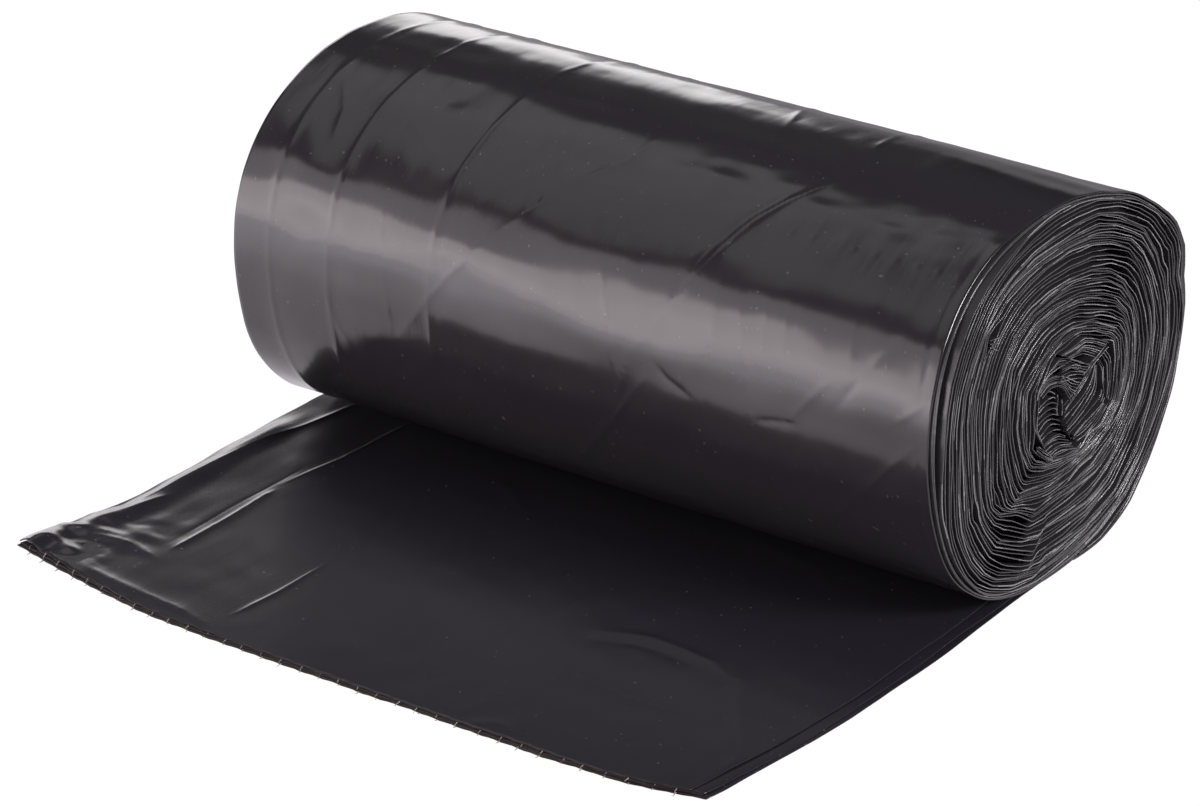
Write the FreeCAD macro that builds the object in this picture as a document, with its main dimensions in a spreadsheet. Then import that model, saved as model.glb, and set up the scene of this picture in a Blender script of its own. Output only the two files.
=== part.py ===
import FreeCAD, Part
import math
import os

# A roll of bin bags: one long web of folded film, wound on itself without a core.
# The winding axis lies along X. The web's free tail leaves the underside and lies
# flat towards -Y. The origin is on the resting face, under the middle of the roll.
# Lengths are in millimetres and angles in degrees.

SIZES = [
    # The roll as wound, and the film strip that it is wound from
    ("roll_length", 230.0),
    ("roll_radius", 54.8),
    ("strip_thickness", 1.6),
    ("turn_gap", 0.85),
    # How far the round outline is out of true
    ("oval_depth", 3.3),
    ("oval_lean", 12.4),
    ("lobe_depth", 0.85),
    ("lobe_lean", 13.5),
    ("square_depth", 0.7),
    ("square_lean", 41.2),
    ("fold_depth", 0.55),
    ("fold_lean", 13.4),
    ("inner_fold_depth", 1.7),
    # The flattened eye where the winding starts, seen from the roll's middle
    ("eye_radius", 6.5),
    ("eye_flatness", 1.8),
    ("eye_lean", -20.0),
    ("eye_offset_back", 4.5),
    ("eye_offset_up", -2.0),
    # The foot: the underside stays flat this far past the lowest point
    ("foot_angle", 9.0),
    ("settle_angle", 55.0),
    # The inner turns have slid along the roll and stand proud at the near end
    ("inner_turns_proud", 3.0),
    # The tail, measured from the roll's middle to its foremost point
    ("tail_reach", 152.5),
    ("left_corner_back", 11.5),
    ("right_corner_back", 5.5),
    ("front_peak_right", 10.0),
    ("left_flare", 4.7),
    ("left_back_flare", 2.6),
    ("left_hollow", 4.4),
    ("right_bulge", 2.6),
    # Its lower plies, and how far the upper ones end inside them at the near end
    ("lower_plies", 0.7),
    ("lower_plies_out", 0.2),
    ("ply_step", 4.6),
]

ARCS_PER_TURN = 8
SURVEY_STEPS = 60


def make_sheet(doc):
    """Write every driving size into the spreadsheet under its own name."""
    sheet = doc.addObject("Spreadsheet::Sheet", "Sizes")
    for row, (name, value) in enumerate(SIZES, start=1):
        sheet.set("A%d" % row, name)
        sheet.set("B%d" % row, str(value))
        sheet.setAlias("B%d" % row, name)
    doc.recompute()
    return sheet


def wave(depth, count, angle, lean):
    """A ripple of the given depth that repeats count times round the roll."""
    return depth * math.cos(math.radians(count * (angle - lean)))


class Winding:
    """The spiral that the strip follows, in the plane across the roll."""

    def __init__(self, sheet):
        self.sheet = sheet
        self.start_angle = -90.0 + sheet.foot_angle
        self.pitch = sheet.strip_thickness + sheet.turn_gap
        self.wound_depth = sheet.roll_radius - sheet.eye_radius
        # The outline is true to size where the outermost turn crosses the top
        self.true_turn = 0.5
        self.turns = self.true_turn + self.wound_depth / self.pitch
        self.centre_height = 0.0
        self.centre_height = self.seat_height()
        self.start_height = self.wound_point(0.0)[1]

    def outline(self, angle, inward):
        """Radius of the outline, whose folds deepen towards the middle."""
        s = self.sheet
        fold = s.fold_depth + (s.inner_fold_depth - s.fold_depth) * inward
        return (s.roll_radius
                + wave(s.oval_depth, 2, angle, s.oval_lean)
                + wave(s.lobe_depth, 3, angle, s.lobe_lean)
                + wave(s.square_depth, 4, angle, s.square_lean)
                + wave(fold, 5, angle, s.fold_lean))

    def eye(self, angle):
        """Radius of the flattened eye."""
        s = self.sheet
        return s.eye_radius + wave(s.eye_flatness, 2, angle, s.eye_lean)

    def wound_point(self, turn):
        """Where the spiral is after so many turns in from the tail."""
        s = self.sheet
        angle = self.start_angle + 360.0 * turn
        inward = (turn - self.true_turn) * self.pitch / self.wound_depth
        radius = self.outline(angle, inward) * (1.0 - inward) + self.eye(angle) * inward
        y = radius * math.cos(math.radians(angle)) + s.eye_offset_back * inward
        z = radius * math.sin(math.radians(angle)) + s.eye_offset_up * inward
        return y, z + self.centre_height

    def seat_height(self):
        """Height of the roll's middle that rests the second turn on the tail."""
        span = self.sheet.settle_angle / 360.0
        lowest = min(self.wound_point(1.0 + span * (2.0 * i / SURVEY_STEPS - 1.0))[1]
                     for i in range(SURVEY_STEPS + 1))
        return self.sheet.strip_thickness + self.sheet.turn_gap - lowest

    def outer_point(self, turn):
        """The strip's outer face: it lifts off the floor over the settling angle."""
        y, z = self.wound_point(turn)
        settled = max(0.0, 1.0 - 360.0 * turn / self.sheet.settle_angle)
        return FreeCAD.Vector(0.0, y, z - self.start_height * settled * settled)

    def inner_point(self, turn):
        """The strip's inner face, one strip thickness square to the outer face."""
        step = 0.1 / ARCS_PER_TURN
        before = max(0.0, turn - step)
        run = self.outer_point(turn + step) - self.outer_point(before)
        if turn == 0.0:
            run = FreeCAD.Vector(0.0, 1.0, 0.0)
        run.normalize()
        inwards = FreeCAD.Vector(0.0, -run.z, run.y)
        return self.outer_point(turn) + inwards * self.sheet.strip_thickness

    def section(self, first, last):
        """The strip's cross-section between two places along the winding."""
        count = int(math.ceil((last - first) * ARCS_PER_TURN))
        places = [first + (last - first) * i / count for i in range(count + 1)]
        edges = []
        for point_at in (self.outer_point, self.inner_point):
            for a, b in zip(places, places[1:]):
                arc = Part.Arc(point_at(a), point_at((a + b) / 2.0), point_at(b))
                edges.append(arc.toShape())
        for place in (first, last):
            end = Part.LineSegment(self.outer_point(place), self.inner_point(place))
            edges.append(end.toShape())
        return Part.Face(Part.Wire(Part.__sortEdges__(edges)))


def bowed(start, end, bow):
    """An arc between two points of a plan, its middle moved sideways by the bow."""
    middle = (start + end) * 0.5 + FreeCAD.Vector(bow, 0.0, 0.0)
    return Part.Arc(start, middle, end).toShape()


def polyline(*corners):
    """Straight edges from corner to corner."""
    return [Part.LineSegment(a, b).toShape() for a, b in zip(corners, corners[1:])]


def tail_plan(sheet, join_y):
    """Plan of the tail: hollow left edge, bowed front and right edges."""
    half = sheet.roll_length / 2.0
    right = half + sheet.lower_plies_out
    front = -sheet.tail_reach
    left_back = FreeCAD.Vector(-half - sheet.left_back_flare, join_y, 0.0)
    left_front = FreeCAD.Vector(-half - sheet.left_flare, front + sheet.left_corner_back, 0.0)
    peak = FreeCAD.Vector(sheet.front_peak_right, front, 0.0)
    right_front = FreeCAD.Vector(right, front + sheet.right_corner_back, 0.0)
    right_back = FreeCAD.Vector(right, join_y, 0.0)
    edges = [
        bowed(left_back, left_front, sheet.left_hollow),
        Part.Arc(left_front, peak, right_front).toShape(),
        bowed(right_front, right_back, sheet.right_bulge),
    ]
    return Part.Face(Part.Wire(edges + polyline(right_back, left_back)))


def ledge_plan(sheet, join_y):
    """Plan of the ledge where the tail's lower plies stand out past the upper ones."""
    edge = sheet.roll_length / 2.0 + sheet.lower_plies_out - sheet.ply_step
    beyond = edge + 2.0 * (sheet.ply_step + sheet.right_bulge)
    past_front = -sheet.tail_reach - sheet.right_corner_back
    back = FreeCAD.Vector(edge, join_y, 0.0)
    front = FreeCAD.Vector(edge, sheet.right_corner_back - sheet.tail_reach, 0.0)
    outside = polyline(front,
                       FreeCAD.Vector(edge, past_front, 0.0),
                       FreeCAD.Vector(beyond, past_front, 0.0),
                       FreeCAD.Vector(beyond, join_y + sheet.ply_step, 0.0),
                       FreeCAD.Vector(edge, join_y + sheet.ply_step, 0.0),
                       back)
    return Part.Face(Part.Wire([bowed(back, front, sheet.right_bulge)] + outside))


def extrude(doc, name, face, direction, length, start):
    """A flat shape drawn out along an axis, its length bound to the sheet."""
    base = doc.addObject("Part::Feature", name + "_shape")
    base.Shape = face
    body = doc.addObject("Part::Extrusion", name)
    body.Base = base
    body.DirMode = "Custom"
    body.Dir = direction
    body.Solid = True
    body.setExpression("LengthFwd", length)
    for axis, expression in start.items():
        body.setExpression("Placement.Base." + axis, expression)
    return body


def check(doc):
    """Stop if any object failed or holds no valid shape."""
    for item in doc.Objects:
        if "Invalid" in item.State or "Error" in item.State:
            raise RuntimeError("%s could not be built" % item.Name)
        if hasattr(item, "Shape") and (item.Shape.isNull() or not item.Shape.isValid()):
            raise RuntimeError("%s has no valid shape" % item.Name)


def main():
    doc = FreeCAD.newDocument("bin_bag_roll")
    sheet = make_sheet(doc)
    winding = Winding(sheet)
    along = FreeCAD.Vector(1.0, 0.0, 0.0)
    upward = FreeCAD.Vector(0.0, 0.0, 1.0)
    join_y = winding.outer_point(0.0).y

    # The outermost turn, and all the turns inside it, which have slid towards the near end
    outer = extrude(doc, "outer_turn", winding.section(0.0, 1.0), along,
                    "Sizes.roll_length", {"x": "-Sizes.roll_length / 2"})
    inner = extrude(doc, "inner_turns", winding.section(1.0, winding.turns), along,
                    "Sizes.roll_length",
                    {"x": "Sizes.inner_turns_proud - Sizes.roll_length / 2"})

    # The tail, its upper plies cut back so that the lower ones stand out at the near end
    sheet_of_tail = extrude(doc, "tail_sheet", tail_plan(sheet, join_y), upward,
                            "Sizes.strip_thickness", {})
    ledge = extrude(doc, "ledge", ledge_plan(sheet, join_y), upward,
                    "Sizes.strip_thickness", {"z": "Sizes.lower_plies"})
    tail = doc.addObject("Part::Cut", "tail")
    tail.Base = sheet_of_tail
    tail.Tool = ledge

    web = doc.addObject("Part::MultiFuse", "web")
    web.Shapes = [outer, inner, tail]
    web.Label = "bag_roll"
    doc.recompute()
    check(doc)
    if len(web.Shape.Solids) != 1:
        raise RuntimeError("the web is not one solid")

    os.makedirs("parts", exist_ok=True)
    web.Shape.exportStep("parts/bag_roll.step")
    box = web.Shape.BoundBox
    print("turns %.2f, volume %.0f mm3" % (winding.turns, web.Shape.Volume))
    print("box %.1f..%.1f, %.1f..%.1f, %.2f..%.1f"
          % (box.XMin, box.XMax, box.YMin, box.YMax, box.ZMin, box.ZMax))


main()
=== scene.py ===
"""A roll of bin bags: black film wound without a core, its free tail lying in front.

The camera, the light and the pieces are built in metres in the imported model's frame.
Inside the classes, lengths are millimetres, as a film maker would write them, and the
winding's angles are radians, measured from +Y towards +Z about the roll's axis.
"""

import logging
import math
from dataclasses import dataclass, replace
from enum import Enum

import bpy
import numpy as np
from mathutils import Matrix, Vector


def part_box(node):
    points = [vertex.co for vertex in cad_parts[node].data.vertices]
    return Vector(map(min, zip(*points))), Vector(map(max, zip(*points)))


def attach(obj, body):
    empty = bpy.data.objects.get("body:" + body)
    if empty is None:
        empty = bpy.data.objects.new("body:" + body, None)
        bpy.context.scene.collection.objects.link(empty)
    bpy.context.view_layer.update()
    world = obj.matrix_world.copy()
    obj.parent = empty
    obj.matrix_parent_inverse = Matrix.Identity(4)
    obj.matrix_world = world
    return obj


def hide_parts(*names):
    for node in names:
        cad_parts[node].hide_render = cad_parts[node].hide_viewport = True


MM = 0.001
NODE = "bag_roll"
BODY = "root"

log = logging.getLogger(NODE)
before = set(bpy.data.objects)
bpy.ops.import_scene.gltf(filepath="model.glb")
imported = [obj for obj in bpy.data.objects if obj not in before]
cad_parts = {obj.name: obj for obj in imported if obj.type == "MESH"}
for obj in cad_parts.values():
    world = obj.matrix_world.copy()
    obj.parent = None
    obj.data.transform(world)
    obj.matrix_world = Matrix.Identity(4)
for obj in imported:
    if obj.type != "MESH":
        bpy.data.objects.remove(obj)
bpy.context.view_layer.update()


class RollEnd(Enum):
    """The two ends of the roll, by the direction in which each one faces."""

    NEAR = 1.0
    FAR = -1.0


class Part(Enum):
    """Material slots of a film piece, in the order that its mesh lists them."""

    FACE = 0
    EDGE = 1
    # Painted glint: edges in this slot take a bright colour that stands in for highlights.
    GLINT_EDGE = 2


@dataclass(frozen=True)
class Ripples:
    """Smooth seeded waves over a flat pair of coordinates, in millimetres."""

    seed: int
    height: float
    length_u: float
    length_v: float
    count: int = 14

    def at(self, u: np.ndarray, v: np.ndarray) -> np.ndarray:
        """Height of the waves.

        Args:
            u: First coordinate.
            v: Second coordinate.

        Returns:
            The summed waves, about as high as the height field says.
        """
        draw = np.random.default_rng(self.seed)
        total = np.zeros(np.broadcast(u, v).shape)
        for _ in range(self.count):
            turn = draw.uniform(0.0, 2.0 * math.pi)
            rate = draw.uniform(0.5, 1.0) * 2.0 * math.pi
            phase = draw.uniform(0.0, 2.0 * math.pi)
            wave = rate * (math.cos(turn) * u / self.length_u + math.sin(turn) * v / self.length_v)
            total += np.cos(wave + phase)
        return self.height * total / math.sqrt(self.count)


@dataclass(frozen=True)
class RingRipples:
    """Seeded waves round the roll that join up after a full circle."""

    seed: int
    height: float
    lobes: int
    depth_length: float
    count: int = 10

    def at(self, angle: np.ndarray, depth: np.ndarray) -> np.ndarray:
        """Height of the waves at an angle and a depth into the winding."""
        draw = np.random.default_rng(self.seed)
        total = np.zeros(np.broadcast(angle, depth).shape)
        for _ in range(self.count):
            lobe = int(draw.integers(1, self.lobes + 1))
            rate = draw.uniform(-1.0, 1.0) * 2.0 * math.pi / self.depth_length
            phase = draw.uniform(0.0, 2.0 * math.pi)
            total += np.cos(lobe * angle + rate * depth + phase)
        return self.height * total / math.sqrt(self.count)


@dataclass(frozen=True)
class Crease:
    """A fold line pressed into the film, along a few points on it.

    The ridge stands height above the film and falls away over width to each side.
    It dies out towards both ends over the given share of its length.
    """

    path: tuple[tuple[float, float], ...]
    height: float
    width: float
    fade: float = 0.25

    def at(self, u: np.ndarray, v: np.ndarray) -> np.ndarray:
        """Height that the crease adds at points of the film, in millimetres."""
        points = np.array(self.path, float)
        lengths = np.hypot(*np.diff(points, axis=0).T)
        total = lengths.sum()
        nearest = np.full(u.shape, np.inf)
        along = np.zeros(u.shape)
        done = 0.0
        for start, end, length in zip(points, points[1:], lengths):
            run = (end - start) / length
            share = np.clip((u - start[0]) * run[0] + (v - start[1]) * run[1], 0.0, length)
            gap = np.hypot(u - start[0] - share * run[0], v - start[1] - share * run[1])
            closer = gap < nearest
            nearest = np.where(closer, gap, nearest)
            along = np.where(closer, done + share, along)
            done += length
        place = along / total
        taper = np.clip(np.minimum(place, 1.0 - place) / max(self.fade, 1e-6), 0.0, 1.0)
        return self.height * np.exp(-nearest / self.width) * (0.15 + 0.85 * taper)


def smooth_step(value: np.ndarray | float) -> np.ndarray | float:
    """An even rise from 0 to 1 as the value goes from 0 to 1."""
    share = np.clip(value, 0.0, 1.0)
    return share * share * (3.0 - 2.0 * share)


def bump(value: np.ndarray, centre: float, reach: float) -> np.ndarray:
    """A soft hump of height 1 round a centre, gone at the reach."""
    return smooth_step(1.0 - np.abs(value - centre) / reach)


@dataclass(frozen=True)
class Winding:
    """The spiral that the film follows, with the sizes of the solid roll."""

    roll_radius: float = 54.8
    pitch: float = 2.45
    oval: tuple[float, float] = (3.3, 12.4)
    lobe: tuple[float, float] = (0.85, 13.5)
    square: tuple[float, float] = (0.7, 41.2)
    fold: tuple[float, float] = (0.55, 13.4)
    inner_fold: float = 1.7
    eye_radius: float = 6.5
    eye_oval: tuple[float, float] = (1.8, -20.0)
    eye_shift: tuple[float, float] = (4.5, -2.0)
    kinks: tuple[tuple[float, float], ...] = (
        (-100, -3.1), (-81, -3.1), (-76, -2.2), (-68, -0.8), (-60, -0.2), (-52, 0.3),
        (-44, -0.5), (-36, -1.1), (-28, -0.9), (-20, -0.7), (-12, -1.1), (-4, -1.0),
        (4, -0.5), (12, -1.1), (20, 1.4), (28, 1.2), (36, -0.2), (44, -0.6), (52, -0.5),
        (62, -0.8), (74, -0.5), (90, 0.0),
    )
    foot_angle: float = 9.0
    settle_angle: float = 55.0
    true_turn: float = 0.5
    plies: int = 3

    @property
    def depth_total(self) -> float:
        """How deep the winding goes, from its outline to the eye."""
        return self.roll_radius - self.eye_radius

    @property
    def turns(self) -> float:
        """How many times the folded web goes round."""
        return self.true_turn + self.depth_total / self.pitch

    def angle(self, turn: np.ndarray | float) -> np.ndarray | float:
        """Direction from the roll's middle after so many turns in from the tail."""
        return math.radians(self.foot_angle - 90.0) + 2.0 * math.pi * turn

    def outline(self, angle: np.ndarray, inward: np.ndarray) -> np.ndarray:
        """Radius of the roll's outline, whose folds deepen towards the middle."""
        deep = self.fold[0] + (self.inner_fold - self.fold[0]) * inward
        waves = ((2, *self.oval), (3, *self.lobe), (4, *self.square), (5, deep, self.fold[1]))
        return self.roll_radius + sum(
            depth * np.cos(count * (angle - math.radians(lean))) for count, depth, lean in waves)

    def eye(self, angle: np.ndarray) -> np.ndarray:
        """Radius of the flattened eye in the roll's middle."""
        depth, lean = self.eye_oval
        return self.eye_radius + depth * np.cos(2.0 * (angle - math.radians(lean)))

    def relative(self, angle: np.ndarray, depth: np.ndarray) -> tuple[np.ndarray, np.ndarray]:
        """Place across the roll, measured from the middle of its outline."""
        inward = depth / self.depth_total
        radius = self.outline(angle, inward) * (1.0 - inward) + self.eye(angle) * inward
        return (radius * np.cos(angle) + self.eye_shift[0] * inward,
                radius * np.sin(angle) + self.eye_shift[1] * inward)

    def centre_height(self) -> float:
        """Height of the outline's middle, which brings the top to the solid's top."""
        turn = np.linspace(0.3, 0.7, 400)
        top = self.relative(self.angle(turn), (turn - self.true_turn) * self.pitch)[1].max()
        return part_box(NODE)[1][2] / MM - float(top)

    def settle(self, turn: np.ndarray) -> np.ndarray:
        """How far the first stretch is let down onto the floor."""
        start = self.relative(self.angle(0.0), -self.true_turn * self.pitch)[1]
        share = np.maximum(0.0, 1.0 - 360.0 * turn / self.settle_angle)
        return (start + self.centre_height()) * share * share

    def web(self, turn: np.ndarray, inset: float = 0.0) -> tuple[np.ndarray, np.ndarray]:
        """Place of the web's outer face, or of a layer inset from it."""
        depth = (turn - self.true_turn) * self.pitch + inset
        y, z = self.relative(self.angle(turn), depth)
        return y, z + self.centre_height() - self.settle(turn)

    def near_end_kink(self, degrees: np.ndarray, x: np.ndarray) -> np.ndarray:
        """How far the outermost turn bulges out or caves in as it nears its near edge."""
        at_edge = np.interp(degrees, *np.array(self.kinks).T)
        reach = np.where(degrees < 10.0, 26.0, 50.0)
        return smooth_step((x - 113.0 + reach) / reach) * at_edge


@dataclass(frozen=True)
class Surface:
    """Points and faces of a mesh, gathered before it goes to Blender."""

    points: np.ndarray
    faces: np.ndarray
    slots: np.ndarray | None = None


def grid_faces(rows: int, columns: int, first: int = 0) -> np.ndarray:
    """Four-cornered faces of a grid whose points are stored row by row.

    Args:
        rows: Number of rows of points.
        columns: Number of points in a row.
        first: Index of the grid's first point.

    Returns:
        One row of four point indices for each face.
    """
    corner = first + np.arange(rows - 1)[:, None] * columns + np.arange(columns - 1)[None, :]
    corner = corner.reshape(-1)
    return np.stack([corner, corner + 1, corner + columns + 1, corner + columns], axis=1)


def make_object(name: str, surface: Surface, materials: list[bpy.types.Material],
                smooth: bool = True) -> bpy.types.Object:
    """Build a Blender mesh object from points in millimetres.

    Args:
        name: The piece's name.
        surface: Its points and faces.
        materials: Its materials, in the order of the face slots.
        smooth: Whether its faces are shaded smooth.

    Returns:
        The new object, riding on the body and standing for the solid roll.
    """
    mesh = bpy.data.meshes.new(name)
    mesh.from_pydata((surface.points * MM).tolist(), [], surface.faces.tolist())
    for material in materials:
        mesh.materials.append(material)
    if surface.slots is not None:
        mesh.polygons.foreach_set("material_index", surface.slots.astype(np.int32))
    mesh.polygons.foreach_set("use_smooth", np.full(len(surface.faces), smooth))
    mesh.update()
    piece = bpy.data.objects.new(name, mesh)
    bpy.context.scene.collection.objects.link(piece)
    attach(piece, BODY)
    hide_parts(NODE)
    log.info("%s: %d points, %d faces", name, len(surface.points), len(surface.faces))
    return piece


def feed(tree: bpy.types.NodeTree, socket: bpy.types.NodeSocket, value: object) -> None:
    """Link an input to another node's output, or give it a plain value."""
    if isinstance(value, bpy.types.NodeSocket):
        tree.links.new(value, socket)
    else:
        socket.default_value = value


def math_node(tree: bpy.types.NodeTree, operation: str, first: object,
              second: object) -> bpy.types.NodeSocket:
    """Combine two outputs or numbers.

    Args:
        tree: The node tree of the group, material or world.
        operation: Blender's name for the operation.
        first: An output or a number.
        second: An output or a number.

    Returns:
        The result's output.
    """
    node = tree.nodes.new("ShaderNodeMath")
    node.operation = operation
    feed(tree, node.inputs[0], first)
    feed(tree, node.inputs[1], second)
    return node.outputs[0]


def mix_node(tree: bpy.types.NodeTree, kind: str, factor: bpy.types.NodeSocket, first: object,
             second: object) -> bpy.types.NodeSocket:
    """Mix two levels or two colours.

    Args:
        tree: The node tree of the material or world.
        kind: FLOAT for levels and RGBA for colours.
        factor: The output that says how much of the second one is taken.
        first: An output, a level or a colour.
        second: An output, a level or a colour.

    Returns:
        The mixture's output.
    """
    node = tree.nodes.new("ShaderNodeMix")
    node.data_type = kind
    for name, value in (("Factor", factor), ("A", first), ("B", second)):
        feed(tree, node.inputs[name], value)
    return node.outputs["Result"]


def ramp_node(tree: bpy.types.NodeTree, value: bpy.types.NodeSocket,
              across: tuple[float, float], levels: tuple[float, float]) -> bpy.types.NodeSocket:
    """Change smoothly from one level to another.

    Args:
        tree: The node tree of the material or world.
        value: The output that the level follows.
        across: The values between which the level changes.
        levels: The level before and after.

    Returns:
        The level's output.
    """
    node = tree.nodes.new("ShaderNodeMapRange")
    node.interpolation_type = "SMOOTHSTEP"
    node.inputs["From Min"].default_value, node.inputs["From Max"].default_value = across
    node.inputs["To Min"].default_value, node.inputs["To Max"].default_value = levels
    tree.links.new(value, node.inputs["Value"])
    return node.outputs["Result"]


def reach_node(tree: bpy.types.NodeTree, vector: bpy.types.NodeSocket,
               direction: tuple[float, float, float]) -> bpy.types.NodeSocket:
    """How far a vector reaches in a direction."""
    node = tree.nodes.new("ShaderNodeVectorMath")
    node.operation = "DOT_PRODUCT"
    node.inputs[1].default_value = direction
    tree.links.new(vector, node.inputs[0])
    return node.outputs["Value"]


class NodeGroup:
    """A shader node group with named inputs and outputs, built once and shared."""

    def __init__(self, name: str) -> None:
        """Start an empty group.

        Args:
            name: The group's name.
        """
        self.tree = bpy.data.node_groups.new(name, "ShaderNodeTree")
        self.entry = self.tree.nodes.new("NodeGroupInput")
        self.exit = self.tree.nodes.new("NodeGroupOutput")

    def take(self, name: str, value: float) -> bpy.types.NodeSocket:
        """Add a number input with its usual value and return its socket."""
        socket = self.tree.interface.new_socket(name, in_out="INPUT", socket_type="NodeSocketFloat")
        socket.default_value = value
        return self.entry.outputs[name]

    def give(self, name: str, source: bpy.types.NodeSocket) -> None:
        """Add a number output fed by a socket inside the group."""
        self.tree.interface.new_socket(name, in_out="OUTPUT", socket_type="NodeSocketFloat")
        self.tree.links.new(source, self.exit.inputs[name])

    def math(self, operation: str, first: object, second: object) -> bpy.types.NodeSocket:
        """Combine two sockets or numbers and return the result's socket."""
        return math_node(self.tree, operation, first, second)

    def noise(self, scale: object, stretch: tuple[float, float, float],
              detail: float) -> bpy.types.NodeSocket:
        """A noise over the piece, drawn out along its axes, between 0 and 1."""
        place = self.tree.nodes.new("ShaderNodeTexCoord")
        mapping = self.tree.nodes.new("ShaderNodeMapping")
        mapping.inputs["Scale"].default_value = stretch
        texture = self.tree.nodes.new("ShaderNodeTexNoise")
        texture.inputs["Detail"].default_value = detail
        self.tree.links.new(place.outputs["Object"], mapping.inputs["Vector"])
        self.tree.links.new(mapping.outputs["Vector"], texture.inputs["Vector"])
        self.tree.links.new(scale, texture.inputs["Scale"])
        return texture.outputs["Fac"]


def film_grain_group() -> bpy.types.ShaderNodeTree:
    """Fine unevenness of blown film: a height for bump and a change of gloss."""
    group = NodeGroup("film_grain")
    scale = group.take("Scale", 60.0)
    streak = group.take("Streak", 1.0)
    haze = group.take("Haze", 0.06)
    fine = group.noise(scale, (1.0, 1.0, 1.0), 3.0)
    drawn = group.noise(scale, (3.5, 0.5, 0.5), 2.0)
    height = group.math("ADD", fine, group.math("MULTIPLY", drawn, streak))
    centred = group.math("SUBTRACT", drawn, 0.5)
    group.give("Height", height)
    group.give("Gloss", group.math("MULTIPLY", centred, haze))
    return group.tree


def dust_group() -> bpy.types.ShaderNodeTree:
    """Sparse specks and faint cloudiness that lighten the film a little."""
    group = NodeGroup("film_dust")
    scale = group.take("Scale", 900.0)
    amount = group.take("Amount", 0.5)
    specks = group.noise(scale, (1.0, 1.0, 1.0), 0.0)
    bright = group.math("MULTIPLY", group.math("SUBTRACT", specks, 0.80), 12.0)
    clipped = group.math("MINIMUM", group.math("MAXIMUM", bright, 0.0), 1.0)
    group.give("Mask", group.math("MULTIPLY", clipped, amount))
    return group.tree


def pale_patch_group() -> bpy.types.ShaderNodeTree:
    """Patches in which a film's edge is paler; on the ply edges at the roll's ends they are painted
    glints.
    """
    group = NodeGroup("pale_edge_patches")
    scale = group.take("Scale", 300.0)
    share = group.take("Share", 0.5)
    patches = group.noise(scale, (1.0, 1.0, 1.0), 3.0)
    raised = group.math("ADD", group.math("SUBTRACT", patches, 1.0), share)
    clipped = group.math("MINIMUM", group.math("MAXIMUM", group.math(
        "MULTIPLY", raised, 5.0), 0.0), 1.0)
    group.give("Mask", clipped)
    return group.tree


@dataclass(frozen=True)
class FilmFinish:
    """Blown polyethylene film: its colour, its gloss and how uneven it is."""

    name: str
    colour: tuple[float, float, float]
    dust_colour: tuple[float, float, float] = (0.16, 0.155, 0.15)
    roughness: float = 0.27
    refraction: float = 1.51
    haze: float = 0.08
    grain_scale: float = 60.0
    streak: float = 1.0
    bump_height: float = 0.00006
    specular: float = 0.5
    dust: float = 0.35
    # Paler patches: on the ply edges at the roll's ends these are painted glints.
    patch_colour: tuple[float, float, float] = (0.09, 0.087, 0.092)
    patch_scale: float = 300.0
    patch_share: float = 0.0

    def placed(self, tree: bpy.types.NodeTree, group: bpy.types.ShaderNodeTree,
               **values: float) -> bpy.types.Node:
        """Place a shared effect in the material, with this film's own values."""
        node = tree.nodes.new("ShaderNodeGroup")
        node.node_tree = group
        for name, value in values.items():
            node.inputs[name].default_value = value
        return node

    def build(self, grain: bpy.types.ShaderNodeTree, dust: bpy.types.ShaderNodeTree,
              patching: bpy.types.ShaderNodeTree) -> bpy.types.Material:
        """Make the material.

        Args:
            grain: The shared node group for the film's unevenness.
            dust: The shared node group for specks on the film.
            patching: The shared node group for paler patches, painted glints on the ply edges.

        Returns:
            The finished material.
        """
        material = bpy.data.materials.new(self.name)
        material.use_nodes = True
        tree = material.node_tree
        shader = tree.nodes["Principled BSDF"]
        shader.inputs["IOR"].default_value = self.refraction
        shader.inputs["Specular IOR Level"].default_value = self.specular
        uneven = self.placed(tree, grain, Scale=self.grain_scale, Streak=self.streak,
                             Haze=self.haze)
        gloss = math_node(tree, "ADD", uneven.outputs["Gloss"], self.roughness)
        tree.links.new(gloss, shader.inputs["Roughness"])
        relief = tree.nodes.new("ShaderNodeBump")
        relief.inputs["Strength"].default_value = 1.0
        relief.inputs["Distance"].default_value = self.bump_height
        tree.links.new(uneven.outputs["Height"], relief.inputs["Height"])
        tree.links.new(relief.outputs["Normal"], shader.inputs["Normal"])
        specks = self.placed(tree, dust, Amount=self.dust)
        dusty = mix_node(tree, "RGBA", specks.outputs["Mask"], (*self.colour, 1.0),
                         (*self.dust_colour, 1.0))
        # Paler patches, which on the ply edges are painted glints.
        patches = self.placed(tree, patching, Scale=self.patch_scale, Share=self.patch_share)
        patched = mix_node(tree, "RGBA", patches.outputs["Mask"], dusty, (*self.patch_colour, 1.0))
        tree.links.new(patched, shader.inputs["Base Color"])
        return material


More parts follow.
